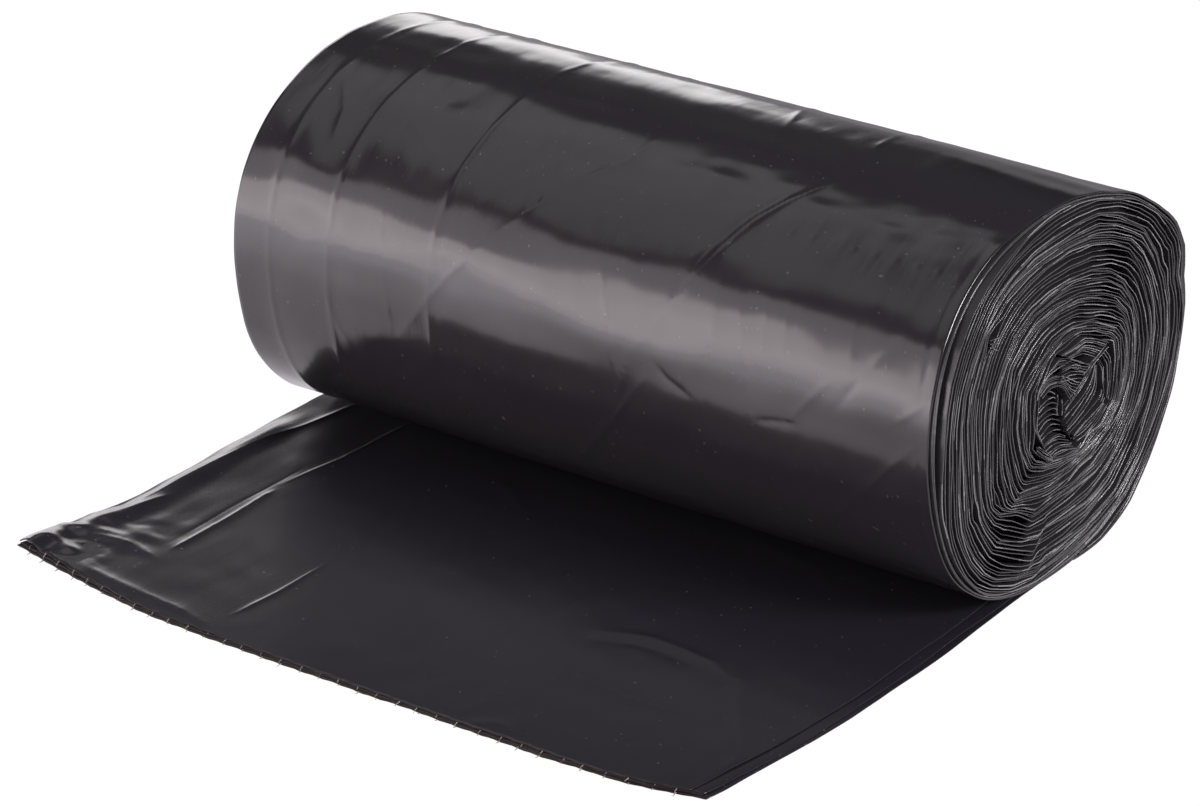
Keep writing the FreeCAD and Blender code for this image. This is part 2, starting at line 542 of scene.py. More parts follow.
@dataclass(frozen=True)
class Finishes:
    """The materials of the roll, made once and handed to its pieces."""

    skin: bpy.types.Material
    tail: bpy.types.Material
    turns: bpy.types.Material
    turn_edges: bpy.types.Material
    pale_edges: bpy.types.Material
    cut_edge: bpy.types.Material
    nib: bpy.types.Material

    @classmethod
    def build(cls) -> "Finishes":
        """Make every finish of the roll."""
        shared = (film_grain_group(), dust_group(), pale_patch_group())
        black = (0.0165, 0.0142, 0.0182)
        return cls(
            skin=FilmFinish("black_film", black, roughness=0.17, haze=0.05).build(*shared),
            tail=FilmFinish("tail_film", (0.0152, 0.0148, 0.0192), roughness=0.24,
                            haze=0.05).build(*shared),
            # Painted light: this colour is set lighter than the skin's so that the shaded gaps
            # between the ply edges read less black.
            turns=FilmFinish("folded_film", (0.024, 0.0220, 0.0250), roughness=0.28,
                             grain_scale=220.0, bump_height=0.00004, dust=0.1).build(*shared),
            # Its paler patches are painted glints along the folded edges.
            turn_edges=FilmFinish("folded_film_edges", (0.055, 0.052, 0.057), roughness=0.22,
                                  grain_scale=260.0, bump_height=0.00006, dust=0.2,
                                  patch_colour=(0.125, 0.121, 0.127), patch_scale=520.0,
                                  patch_share=0.42).build(*shared),
            # Painted glints: a bright edge colour, with still paler patches, that stands in for
            # highlights along some ply edges.
            pale_edges=FilmFinish("painted_glint_film_edges", (0.170, 0.166, 0.172), roughness=0.20,
                                  grain_scale=260.0, bump_height=0.00012, dust=0.2,
                                  patch_colour=(0.30, 0.29, 0.30), patch_scale=520.0,
                                  patch_share=0.42).build(*shared),
            cut_edge=FilmFinish("cut_film_edge", (0.022, 0.013, 0.009), roughness=0.5,
                                specular=0.12, grain_scale=300.0, dust=0.0,
                                patch_colour=(0.07, 0.05, 0.04), patch_scale=420.0,
                                patch_share=0.42).build(*shared),
            nib=FilmFinish("torn_film_nib", (0.26, 0.22, 0.19), roughness=0.42,
                           grain_scale=300.0, dust=0.0).build(*shared))


@dataclass
class OuterWrap:
    """The outermost turn of film, from the tail's foot up the back and over to the nip.

    The steps say how far apart the points lie from each direction on. The marks are the
    creases in view, and their paths give distance along the roll and direction in degrees.
    """

    winding: Winding
    finishes: Finishes
    half_length: float = 115.0
    steps: tuple[tuple[float, float], ...] = (
        (-81.0, 2.5), (52.0, 1.25), (97.0, 0.62), (214.0, 1.2), (279.0, 1.2),
    )
    across_step: float = 0.77
    fold_radius: float = 0.3
    ripples: tuple[Ripples, ...] = (
        Ripples(11, 0.22, 70.0, 38.0),
        Ripples(12, 0.075, 24.0, 13.0),
        Ripples(13, 0.016, 7.0, 9.0),
        Ripples(14, 0.055, 34.0, 9.5),
    )
    degree: float = 0.956
    folds_across: tuple[float, ...] = (-103.6, -82.2, -46.0)
    marks: tuple[Crease, ...] = (
        Crease(((3.0, 95), (-1.6, 120), (-22, 145), (-40, 166), (-59, 189)), 0.17, 1.1),
        Crease(((-10.0, 112), (-18, 124), (-38, 148)), 0.10, 1.6),
        Crease(((62, 96), (50, 120), (35.7, 150), (24.6, 169)), 0.30, 0.85),
        Crease(((51, 112), (42, 131), (33.5, 149), (30.5, 158)), -0.16, 0.8),
        Crease(((26, 178), (14, 194), (3, 206), (-8, 220)), 0.22, 0.7),
        Crease(((21, 171), (17, 184), (14.5, 191)), 0.14, 0.8),
        Crease(((28.5, 172.5), (33, 176.5), (41, 180)), -0.22, 1.3),
        Crease(((61, 181), (67, 179.5), (75, 178.5)), -0.18, 0.9),
        Crease(((86, 172), (94, 160), (101, 149)), -0.26, 1.2),
        Crease(((72, 178), (79, 170), (85, 163)), 0.14, 1.0),
        Crease(((104, 171), (110, 166), (115, 160)), 0.16, 0.8),
        Crease(((80, 208), (95, 192), (104, 182), (112, 174)), 0.14, 0.7),
        Crease(((-24, 241), (-35, 262), (-41, 285)), 0.16, 0.7),
        Crease(((-77, 196), (-81, 188), (-84, 178)), 0.12, 0.8),
        Crease(((-100, 118), (-93, 128), (-90, 139)), 0.20, 1.6),
        Crease(((-74, 124), (-60, 133), (-48, 137)), 0.12, 1.3),
        Crease(((111.2, 88), (110.6, 120), (110.9, 170), (111.3, 215),
                (111.6, 248)), -0.12, 0.55, 0.08),
        Crease(((112.9, 140), (113.2, 190), (113.2, 235)), 0.08, 0.4),
        Crease(((8, 152), (14, 168), (17, 182)), 0.09, 0.5),
        Crease(((-30, 112), (-20, 128), (-16, 146)), 0.10, 0.5),
        Crease(((52, 150), (58, 168), (61, 186)), 0.07, 0.5),
        Crease(((-66, 150), (-62, 172), (-60, 190)), 0.08, 0.6),
    )
    rumple_folds: tuple[float, ...] = (46.0, 62.0, 68.5, 89.0, 110.0)
    back_folds: tuple[tuple[float, float, float, float], ...] = (
        (-70, -30, 60, 14), (-12, -20, 75, -20), (40, 0, 92, 16), (84, -40, 40, -12),
        (10, 40, 100, 22),
    )
    perforation_at: float = 129.0
    perforation_pitch: float = 6.4

    def along(self, degrees: float) -> float:
        """Distance round the roll, in millimetres, of a direction."""
        return degrees * self.degree

    def creases(self) -> list[Crease]:
        """The folds and creases that the film shows, laid out flat in millimetres."""
        seen = []
        for place, x in enumerate(self.folds_across):
            sway = 0.7 - 0.5 * place
            run = ((x, -60), (x + sway, 40), (x, 110), (x + sway, 180), (x, 262))
            seen.append(Crease(run, 0.20, 0.75, 0.06))
        seen += self.marks
        for x in self.rumple_folds:
            seen.append(Crease(((x - 1.5, 146), (x, 160), (x + 1.0, 186)), 0.07, 0.9))
        for x, start, end, lean in self.back_folds:
            run = ((x, start), (x + lean / 2, (start + end) / 2), (x + lean, end))
            seen.append(Crease(run, 0.18, 1.1))
        return [replace(crease, path=tuple((x, self.along(degrees)) for x, degrees in crease.path))
                for crease in seen]

    def swells(self, x: np.ndarray, degrees: np.ndarray) -> np.ndarray:
        """Broad lumps and hollows where the folded film beneath shows through."""
        lumps = (
            (-96, 149, 9, 9, 0.55), (-90, 163, 8, 7, -0.45), (-107, 196, 7, 16, -0.35),
            (-60, 138, 16, 5, 0.32), (-30, 158, 34, 7, 0.28), (14, 171, 24, 6, 0.34),
            (68, 172, 26, 6, -0.18), (45, 130, 40, 4, 0.22), (96, 131, 14, 4, -0.22),
            (-20, 124, 20, 5, -0.25), (74, 186, 20, 6, 0.20), (100, 158, 10, 12, 0.22),
        )
        total = np.zeros(x.shape)
        for x_mid, mid, reach_x, reach_angle, height in lumps:
            away = ((x - x_mid) / reach_x) ** 2 + ((degrees - mid) / reach_angle) ** 2
            total += height * np.exp(-away)
        return total

    def perforation(self, x: np.ndarray, degrees: np.ndarray) -> np.ndarray:
        """Small bumps where the line of holes between two bags shows through."""
        pitch = self.perforation_pitch
        off = (x + pitch / 2.0) % pitch - pitch / 2.0
        round_it = np.exp(-(off / 0.8) ** 2 - ((degrees - self.perforation_at) / 0.9) ** 2)
        return 0.05 * round_it * smooth_step((x + 12.0) / 10.0)

    def rumpled(self, x: np.ndarray, degrees: np.ndarray) -> np.ndarray:
        """Shallow rumples of the slacker film on top, mostly towards the near end."""
        place = bump(degrees, 117.0, 17.0) * smooth_step((x + 20.0) / 60.0)
        place = place + 0.5 * bump(degrees, 112.0, 14.0) * bump(x, -60.0, 40.0)
        return place * Ripples(15, 0.075, 13.0, 6.0).at(x, self.along(degrees))

    def right_edge(self, turn: np.ndarray) -> np.ndarray:
        """Where the near edge of the turn lies, which wanders in and out."""
        degrees = np.degrees(self.winding.angle(turn))
        drawn_in = 1.7 * bump(degrees, 125.0, 40.0)
        wander = Ripples(21, 0.12, 60.0, 60.0).at(turn * 344.0, np.zeros(turn.shape))
        return self.half_length - drawn_in + wander

    def left_edge(self, turn: np.ndarray) -> np.ndarray:
        """Where the far edge of the turn lies."""
        wander = Ripples(22, 0.5, 90.0, 90.0).at(turn * 344.0, np.zeros(turn.shape))
        return -self.half_length - 0.8 + wander

    def stations(self) -> np.ndarray:
        """Places round the turn, closer together where the camera looks."""
        runs = []
        for (start, step), (end, _) in zip(self.steps, self.steps[1:]):
            count = int(self.along(end - start) / step)
            runs.append(np.linspace(start, end, count, endpoint=False))
        degrees = np.append(np.concatenate(runs), self.steps[-1][0])
        return (degrees - degrees[0]) / 360.0

    def columns(self) -> tuple[np.ndarray, np.ndarray, np.ndarray]:
        """Places across the film, with a rolled-over fold at both edges.

        Returns:
            The share of the width, the distance back from the edge in millimetres, and
            how deep the point lies under the surface.
        """
        inner = np.linspace(0.0, 1.0, int(2.0 * self.half_length / self.across_step))
        bend = np.radians([-90.0, -55.0, -25.0])
        past = self.fold_radius * np.cos(bend)
        sunk = self.fold_radius * (1.0 - np.sin(-bend))
        share = np.concatenate([[0.0] * 5, inner, [1.0] * 5])
        back = np.concatenate([[5.0, 1.0], self.fold_radius - past, np.zeros(len(inner)),
                               (self.fold_radius - past)[::-1], [1.0, 5.0]])
        deep = np.concatenate([[2 * self.fold_radius] * 2,
                               2 * self.fold_radius - sunk, np.zeros(len(inner)),
                               (2 * self.fold_radius - sunk)[::-1],
                               [2 * self.fold_radius] * 2])
        return share, back, deep

    def build(self) -> bpy.types.Object:
        """Make the film of the outermost turn."""
        turn = self.stations()[:, None]
        share, back, deep = (row[None, :] for row in self.columns())
        left, right = self.left_edge(turn), self.right_edge(turn)
        inset = np.where(share < 0.5, back, -back) + np.where(
            share < 0.5, 1.0, -1.0) * self.fold_radius * (deep > 0)
        x = left + (right - left) * share + np.where(deep > 0, inset, 0.0)
        degrees = np.degrees(self.winding.angle(turn)) + np.zeros(x.shape)
        round_it = self.along(degrees)
        lift = sum(r.at(x, round_it) for r in self.ripples)
        lift = lift + sum(c.at(x, round_it) for c in self.creases())
        lift = lift + self.swells(x, degrees) + self.perforation(x, degrees)
        lift = lift + self.rumpled(x, degrees)
        free = smooth_step(turn / 0.10) * smooth_step((1.0 - turn) / 0.04)
        lift = lift * free - deep + self.winding.near_end_kink(degrees, x)
        y, z = self.winding.web(turn)
        ahead_y, ahead_z = self.winding.web(turn + 0.0005)
        run = np.stack([ahead_y - y, ahead_z - z])
        run = run / np.hypot(*run)
        points = np.stack([x, y + lift * run[1], z - lift * run[0]], axis=-1)
        points[..., 2] = np.maximum(points[..., 2], 0.0)
        rows, columns = x.shape
        surface = Surface(points.reshape(-1, 3), grid_faces(rows, columns))
        return make_object("outer_wrap", surface, [self.finishes.skin])


@dataclass(frozen=True)
class GuideRing:
    """A full turn that one ply takes at the roll's end, by its corner points (y, z)."""

    ply: float
    corners: tuple[tuple[float, float], ...]

    def radius(self, middle: tuple[float, float], angle: np.ndarray) -> np.ndarray:
        """Distance of the turn from a middle point, in the given directions."""
        points = np.array(self.corners + self.corners[:1])
        share = np.linspace(0.0, len(self.corners), 40 * len(self.corners))
        y, z = (np.interp(share, np.arange(len(points)), row) for row in points.T)
        y, z = y - middle[0], z - middle[1]
        return np.interp(angle, np.arctan2(z, y), np.hypot(y, z), period=2.0 * math.pi)


@dataclass(frozen=True)
class Void:
    """A gap that has opened between two plies, by its direction in degrees and its ply."""

    degrees: float
    ply: float
    reach: float
    width: float

    def push(self, angle: np.ndarray, ply: np.ndarray) -> np.ndarray:
        """How far the gap pushes a ply outwards, or inwards if it lies below the gap."""
        off = (np.degrees(angle) - self.degrees + 180.0) % 360.0 - 180.0
        near = np.exp(-np.abs(ply - self.ply) / 2.5) * np.sign(self.ply - ply)
        return 0.5 * self.width * near * smooth_step(1.0 - np.abs(off) / self.reach)


@dataclass(frozen=True)
class Bundle:
    """Plies of the flattened core, from a first to a last run given by points (y, z).

    The bundle stands proud of the plies round it, or lies back where stand is negative.
    """

    first: tuple[tuple[float, float], ...]
    last: tuple[tuple[float, float], ...]
    count: int
    stand: float = 0.0

    def runs(self, step: float) -> list[tuple[np.ndarray, np.ndarray]]:
        """The bundle's plies as rounded runs of points, about a step apart."""
        ends = [np.array(run) for run in (self.first, self.last)]
        length = np.hypot(*np.diff(ends[0], axis=0).T).sum()
        share = np.linspace(0.0, 1.0, max(8, int(length / step)))
        rows = [np.stack([np.interp(share * (len(run) - 1), np.arange(len(run)), run[:, axis])
                          for axis in (0, 1)]) for run in ends]
        made = []
        for place in np.linspace(0.0, 1.0, self.count):
            row = rows[0] * (1.0 - place) + rows[1] * place
            for _ in range(3):
                row[:, 1:-1] = 0.25 * row[:, :-2] + 0.5 * row[:, 1:-1] + 0.25 * row[:, 2:]
            made.append((row[0], row[1]))
        return made


@dataclass
class TurnEnds:
    """The folded edges of all the plies inside the outermost one, at one end of the roll.

    Guide rings say how the plies lie in between, as the film has sagged into corners and
    flat runs. Inside the last ring the core is flattened, and bundles say how its plies
    lie. At the near end the plies stand proud of the outermost turn.
    """

    winding: Winding
    finishes: Finishes
    end: RollEnd
    seed: int
    step: float = 1.1
    half_length: float = 115.0
    ply_half: float = 0.125
    ply_half_limits: tuple[float, float] = (0.05, 0.34)
    slack_side: tuple[float, float] = (283.0, 34.0)
    slack_swell: float = 1.1
    first_turn: float = 0.94
    furthest_out: float = 0.6
    gathers: tuple[tuple[float, float, float, float], ...] = (
        (0.50, 8.5, 1.3, 0.0), (0.24, 3.4, 2.0, 1.0),
    )
    # Level above which a ply edge is painted as a glint.
    glint_above: float = 0.55
    visible_depth: float = 9.0
    backing_depth: float = 6.0
    middle: tuple[float, float] = (2.5, 51.5)
    proud_inside: float = 3.8
    far_recess: float = 3.0
    proud_outside: tuple[tuple[float, float], ...] = (
        (-100, 0.6), (-20, 0.6), (35, 0.6), (60, 1.2), (90, 1.6), (115, 2.2), (140, 2.6),
        (165, 2.9), (200, 2.9), (218, 2.1), (236, 1.0), (250, 0.6), (260, 0.6),
    )
    rings: tuple[GuideRing, ...] = (
        GuideRing(4.5, ((-53.1, 50), (-53.2, 58), (-52.1, 66), (-49.7, 74), (-45.7, 81.4),
            (-42.6, 85.5), (-37, 91.8), (-30.6, 96), (-22.4, 99.6), (-13.6, 101.3),
            (-1.6, 102.4), (8.2, 102.6), (15.8, 101.7), (26.5, 98.4), (36.8, 93.2), (45.1, 87.5),
            (50.3, 81.9), (53.8, 76.9), (55.3, 71.4), (54.6, 66.4), (56.3, 61.4), (56.8, 57.4),
            (56.1, 50.4), (53.6, 41.4), (49.3, 33.4), (43.8, 25.2), (37.8, 18), (31.8, 12.6),
            (19.3, 6.6), (7.3, 4.4), (-5.7, 3.1), (-12.7, 2.7), (-21.6, 3.9), (-27.6, 6.2),
            (-33.5, 8.8), (-39.7, 12.2), (-44.1, 16.5), (-47.1, 21.5), (-50.6, 28.5),
            (-52.5, 33.7), (-53, 42))),
        GuideRing(13, ((-45.5, 52.2), (-45.2, 60.2), (-43.7, 68.1), (-40, 75.6), (-35.4, 82),
            (-29.3, 87.4), (-22.2, 91.1), (-12.9, 93.7), (-2.6, 94.5), (5.6, 94.5), (15.7, 94),
            (24.9, 90.7), (36.8, 83.8), (42.5, 76.4), (46, 68.9), (48.5, 60.9), (49, 52.9),
            (47, 43.9), (43, 33.9), (36, 23.9), (25.5, 14.9), (12.5, 10.5), (1.5, 9.1),
            (-8.5, 8.7), (-10.4, 7.5), (-20.2, 9.3), (-29.2, 13.2), (-34.5, 17.2), (-39.4, 22.6),
            (-42.4, 27.6), (-44.6, 32.8), (-45.5, 38.7), (-45.7, 45.2))),
        GuideRing(19, ((-41.4, 52.4), (-41, 60.4), (-39.6, 67.4), (-36.3, 73.8), (-32.4, 80.1),
            (-24.1, 87.2), (-16.2, 90.2), (-8.6, 91.7), (1.6, 92.2), (11.7, 91.2), (20.8, 88.5),
            (29.9, 84.3), (35.6, 78.2), (39.1, 71.2), (41.1, 63.7), (41.7, 56.7), (40.1, 47.7),
            (36.6, 38.2), (30.1, 29), (20.1, 20.7), (9.1, 16.7), (-0.9, 15.7), (-11.4, 15.4),
            (-13.9, 13.2), (-23.2, 17.7), (-32.4, 22.4), (-37.4, 29.3), (-40.3, 34.4),
            (-41.3, 42.4))),
        GuideRing(28.5, ((-35.3, 52.6), (-34.6, 60.6), (-32.9, 66.6), (-29.1, 72.4),
            (-24.3, 77.6), (-16.6, 81.9), (-8.6, 83.4), (0.5, 83.6), (9.5, 82.2), (18.5, 79.4),
            (25, 75.1), (29, 69.3), (31.5, 62.6), (32.5, 55.6), (31.3, 47.6), (27.5, 39.1),
            (20.5, 31.9), (11.5, 27.8), (1.5, 26.2), (-8.3, 25.2), (-15.5, 24.4), (-22.5, 28.4),
            (-30.3, 31.1), (-33.2, 34.6), (-35.1, 39.6), (-35.6, 45.6))),
        GuideRing(38, ((-26.6, 52.7), (-26.2, 60.7), (-24.2, 69), (-18.1, 73.2), (-12.6, 76.1),
            (-4.6, 77.3), (4.4, 76.7), (12.9, 74), (20.4, 70.7), (25.4, 66.2), (27.4, 59.7),
            (27, 52.7), (24.4, 45.7), (18.4, 39.2), (9.4, 34.2), (0.4, 31.6), (-8.6, 31),
            (-16.6, 32.3), (-22.4, 33), (-24.2, 37.7), (-25.9, 44.7))),
        GuideRing(46, ((-19.4, 60.8), (-13.4, 65.8), (-6.4, 69.7), (2.2, 70.4), (12.1, 68.1),
            (20.4, 64.1), (23.4, 60.8), (24.1, 56.1), (23.1, 49.5), (21.1, 43.9), (15.5, 39.9),
            (4.2, 35.2), (-4.4, 35.6), (-11.1, 36.9), (-16.7, 38.9), (-19.4, 44.9),
            (-20.4, 51.5), (-20.2, 56.8))),
        GuideRing(51, ((-14.8, 58.9), (-12.1, 61.5), (-8.1, 64.3), (-4.8, 65.8), (-0.6, 66.1),
            (5.6, 67.3), (11.4, 65.3), (16.4, 62.9), (20.4, 60.2), (21, 54.7), (20.2, 49.2),
            (18.7, 45.5), (12.4, 42), (4, 36.7), (-5.1, 39), (-8.9, 38.5), (-12.1, 41.2),
            (-16.2, 44.5), (-15.6, 48.7), (-15.6, 54.7))),
    )
    voids: tuple[Void, ...] = (
        Void(139.5, 20.0, 8.0, 2.6), Void(25.8, 9.5, 4.5, 1.9), Void(200.3, 18.5, 5.0, 1.7),
        Void(205.1, 31.0, 6.0, 2.0), Void(236.5, 33.0, 9.0, 1.3), Void(286.0, 12.0, 3.5, 0.9),
    )
    bundles: tuple[Bundle, ...] = (
        Bundle(((-12.9, 54.5), (-9.1, 56.3), (-6.1, 56.1), (-4.6, 54.8)),
               ((-10.9, 43.7), (-7.7, 45), (-4.8, 45), (-1.5, 43.7)), 8, -1.2),
        Bundle(((-10.7, 43.5), (-7.1, 44), (-3.8, 43.7), (-1.1, 42)),
               ((-8.6, 38.2), (-5.8, 39.1), (-2.5, 38.7), (3.5, 36.6)), 7, -0.4),
        Bundle(((-1.1, 50.2), (2.2, 51.8), (5.8, 53.5), (8.2, 55.8), (11, 57.1)),
               ((0.2, 42.9), (3.2, 43.9), (8.5, 46.2), (13.8, 49.5), (14, 56.2)), 8, -0.9),
        Bundle(((0.8, 42.1), (4, 42.9), (9.5, 45.1), (15, 47.5), (15.6, 55.2)),
               ((1.9, 40.1), (5.2, 40.9), (9.8, 42.9), (16.4, 44.9), (18.7, 48.8)), 4, -0.5),
        Bundle(((-13.1, 59.3), (-9.7, 61.1), (-5.8, 60.6), (-1.1, 58.5), (2.2, 56.1),
                (5.8, 54.7)),
               ((-13.1, 56.8), (-9.1, 58.3), (-5.1, 57.6), (-2.4, 55.8), (-1.1, 53.5),
                (-0.1, 52)), 7, 0.3),
        Bundle(((-13.4, 59.8), (-9.1, 63.1), (-4.8, 65.1), (-1.1, 63.8), (4.2, 61.1),
                (8.8, 58.3)),
               ((-13.1, 59.5), (-9.1, 61.8), (-4.4, 62.3), (-2.1, 62.1), (2.2, 59.6),
                (5.8, 57.6)), 4, 0.2),
        Bundle(((-4.4, 65.7), (0.9, 66.1), (5.5, 67.2), (10.8, 65.1), (16.1, 62.2)),
               ((-1.1, 63.8), (2.2, 63.3), (4.7, 63.1), (7.2, 61.8), (9.8, 60.3)), 8, 1.1),
        Bundle(((5.5, 57.5), (8.8, 58.1), (12.1, 59.1), (16.4, 61.4)),
               ((6.8, 55.8), (10.5, 57.3), (13.5, 58.8), (16.8, 60.5)), 3, 0.1),
        Bundle(((16.5, 60.1), (19.1, 56.8), (19.3, 51.5), (17.8, 45.5)),
               ((13.1, 58.1), (15, 54.8), (14.8, 51.5), (15.5, 48.2)), 5, -0.3),
        Bundle(((-14, 59.6), (-14.5, 54.7), (-14.5, 48.7), (-9.8, 41.3)),
               ((-13.5, 58.7), (-13.5, 54.7), (-13.9, 48.7), (-10.4, 42.9)), 2, 0.1),
        Bundle(((-16, 44.1), (-12.1, 40.5), (-8.8, 38.6)),
               ((-15, 44.7), (-11.8, 42.1), (-9.2, 39.7)), 4, 1.0),
        Bundle(((-32.4, 79), (-30.8, 79.1), (-28.7, 78.7)),
               ((-31.8, 76.8), (-30.4, 76.1), (-28.6, 75.1)), 4, -1.0),
        Bundle(((-4.5, 54.7), (-4.3, 52.2), (-3.9, 48.9)),
               ((-1.2, 52), (-1.6, 50.3), (-1.9, 48.1)), 2, -0.6),
        Bundle(((-4.6, 62.8), (0.8, 62.6), (4.8, 60.2), (8.8, 58.7)),
               ((-4.2, 58.4), (0.0, 57.7), (3.8, 56.8), (6.4, 55.6)), 6, 0.7),
        Bundle(((1.5, 41.6), (5, 42.5), (9.5, 44.2), (14, 46.2)),
               ((2.5, 39.4), (6.5, 39.9), (10.5, 41.5), (16.5, 44.4)), 5, 0.3),
    )

    def proud(self, angle: np.ndarray, ply: np.ndarray) -> np.ndarray:
        """How far past the outermost turn's edge a ply stands at this end."""
        if self.end is RollEnd.FAR:
            return np.full(np.shape(angle), -self.far_recess)
        degrees = (np.degrees(angle) + 100.0) % 360.0 - 100.0
        edge = np.interp(degrees, *np.array(self.proud_outside).T)
        edge = edge * (0.28 + 0.72 * smooth_step(ply / 7.0))
        return edge + (self.proud_inside - edge) * smooth_step((ply - 6.0) / 24.0)

    def gathered(self, angle: np.ndarray, ply: np.ndarray) -> np.ndarray:
        """Number of a ply's place once the plies have drawn together into bundles."""
        slow = RingRipples(self.seed + 1, 1.0, 3, 70.0).at(angle, ply)
        drawn = 0.0
        for pull, plies, wander, phase in self.gathers:
            drawn = drawn + pull * np.sin(2.0 * math.pi * ply / plies + wander * slow + phase)
        return ply + drawn * smooth_step((ply - 3.0) / 5.0)

    def roof(self, angle: np.ndarray) -> np.ndarray:
        """Distance of the outermost turn from the middle point, in the given directions."""
        turn = np.linspace(0.0, 0.999, 360)
        y, z = self.winding.web(turn)
        along = self.winding.angle(turn)
        if self.end is RollEnd.NEAR:
            kink = self.winding.near_end_kink(np.degrees(along), np.full(turn.shape, 115.0))
            y, z = y + kink * np.cos(along), z + kink * np.sin(along)
        y, z = y - self.middle[0], z - self.middle[1]
        return np.interp(angle, np.arctan2(z, y), np.hypot(y, z), period=2.0 * math.pi)

    def place(self, angle: np.ndarray, ply: np.ndarray) -> tuple[np.ndarray, np.ndarray]:
        """Where a ply lies across the roll.

        Args:
            angle: Directions from the middle point.
            ply: The ply's number, counted inwards from the roll's surface.

        Returns:
            The place across the roll and the height above the floor.
        """
        numbers = np.array([ring.ply for ring in self.rings])
        radii = np.stack([ring.radius(self.middle, angle) for ring in self.rings])
        where = self.gathered(angle, ply)
        below = np.clip(np.searchsorted(numbers, where) - 1, 0, len(numbers) - 2)
        share = (where - numbers[below]) / (numbers[below + 1] - numbers[below])
        column = np.arange(len(angle))
        radius = radii[below, column] * (1.0 - share) + radii[below + 1, column] * share
        crumple = RingRipples(self.seed + 2, 0.10, 12, 9.0).at(angle, ply)
        radius = radius + crumple + sum(void.push(angle, ply) for void in self.voids)
        radius = np.minimum(radius, self.roof(angle) - 0.75 - 0.16 * ply)
        y = self.middle[0] + radius * np.cos(angle)
        z = self.middle[1] + radius * np.sin(angle)
        return y, np.maximum(z, 1.8)

    def stations(self, first: float, last: float) -> np.ndarray:
        """Turn numbers at even steps along a ply."""
        places = [first]
        while places[-1] < last:
            radius = max(self.winding.roll_radius - places[-1] * self.winding.pitch, 14.0)
            places.append(places[-1] + self.step / (2.0 * math.pi * radius))
        return np.array(places)

    def strip(self, y: np.ndarray, z: np.ndarray, edge: np.ndarray,
              half: np.ndarray, lean: np.ndarray, pale: np.ndarray) -> Surface:
        """A thin strip of film with a rounded edge, which runs on into the roll.

        Args:
            y: Places across the roll of the strip's middle.
            z: Heights of the strip's middle.
            edge: How far along the axis its edge stands.
            half: Half its thickness.
            lean: How far its edge leans over, away from the middle of the roll.
            glint: Where its edge takes the bright colour of a painted glint.

        Returns:
            The strip, whose rounded edge is in the edge slot or the painted glint slot.
        """
        run_y, run_z = np.gradient(y), np.gradient(z)
        size = np.maximum(np.hypot(run_y, run_z), 1e-6)
        back = np.array([self.visible_depth, 0.20, 0.05, 0.0, 0.05, 0.20, self.visible_depth])
        side = np.array([-1.0, -1.0, -0.72, 0.0, 0.72, 1.0, 1.0])
        off = side[None, :] * half[:, None] + lean[:, None] * np.exp(-back / 2.5)[None, :]
        points = np.stack([(edge[:, None] - back[None, :]) * self.end.value,
                           y[:, None] + off * (run_z / size)[:, None],
                           z[:, None] - off * (run_y / size)[:, None]], axis=-1)
        points[..., 2] = np.maximum(points[..., 2], 0.02)
        across = len(back) - 1
        column = np.tile(np.arange(across), len(y) - 1)
        # Painted glints: edges so marked take the bright glint colour.
        kind = np.repeat(np.where(pale[:-1], Part.GLINT_EDGE.value, Part.EDGE.value), across)
        slots = np.where((column >= 1) & (column <= 4), kind, Part.FACE.value)
        return Surface(points.reshape(-1, 3), grid_faces(len(y), len(back)), slots)

    def wound_strip(self, ply: int) -> Surface:
        """One ply of the web, wound from under the outermost turn to the flat core."""
        plies = self.winding.plies
        turn = self.stations(self.first_turn, (self.rings[-1].ply - ply) / plies)
        angle, number = self.winding.angle(turn), plies * turn + ply
        y, z = self.place(angle, number)
        slow = RingRipples(self.seed + 3, 0.40, 4, 19.0).at(angle, number)
        quick = RingRipples(self.seed + 4 + ply, 0.17, 13, 2.2).at(angle, number)
        own = 0.34 * np.sin(number * 2.4 + 3.0 * np.sin(angle + ply))
        edge = self.half_length + self.proud(angle, number) - 0.35
        edge = edge + np.minimum(slow + quick + own, self.furthest_out)
        lean = RingRipples(self.seed + 20 + ply, 0.14, 13, 2.0).at(angle, number)
        half = self.ply_half * (1.0 + RingRipples(self.seed + 30 + ply, 0.32, 7, 1.7).at(
            angle, number))
        slack = bump(np.degrees(angle) % 360.0, *self.slack_side)
        half = np.clip(half * (1.0 + self.slack_swell * slack), *self.ply_half_limits)
        # Streaks of painted glint along the ply edges.
        glint_streaks = RingRipples(self.seed + 60, 1.0, 5, 1.5).at(angle, number)
        return self.strip(y, z, edge, half, lean, glint_streaks > self.glint_above)

    def skin_strip(self, ply: int) -> Surface:
        """An inner ply of the outermost turn, which steps out from under it."""
        turn = np.arange(0.0, 1.0, 0.006)
        angle = self.winding.angle(turn)
        degrees = np.degrees(angle)
        y, z = self.place(angle, np.full(angle.shape, 2.6))
        around = np.arctan2(z - self.middle[1], y - self.middle[0])
        under = np.hypot(y - self.middle[0], z - self.middle[1])
        radius = self.roof(around) - 0.6
        radius = radius + (under - radius) * ply / self.winding.plies
        y = self.middle[0] + radius * np.cos(around)
        z = self.middle[1] + radius * np.sin(around)
        wander = RingRipples(self.seed + 40 + ply, 0.16, 7, 9.0).at(angle, turn)
        edge = self.half_length + self.proud(angle, np.full(angle.shape, float(ply))) - 0.25
        edge = edge + wander - 1.2 * bump(degrees, 125.0, 45.0)
        # Edges where the wander runs high are painted glints.
        return self.strip(y, np.maximum(z, 0.5 * ply), edge, self.ply_half * np.ones(turn.shape),
                          np.zeros(turn.shape), wander > 0.14)

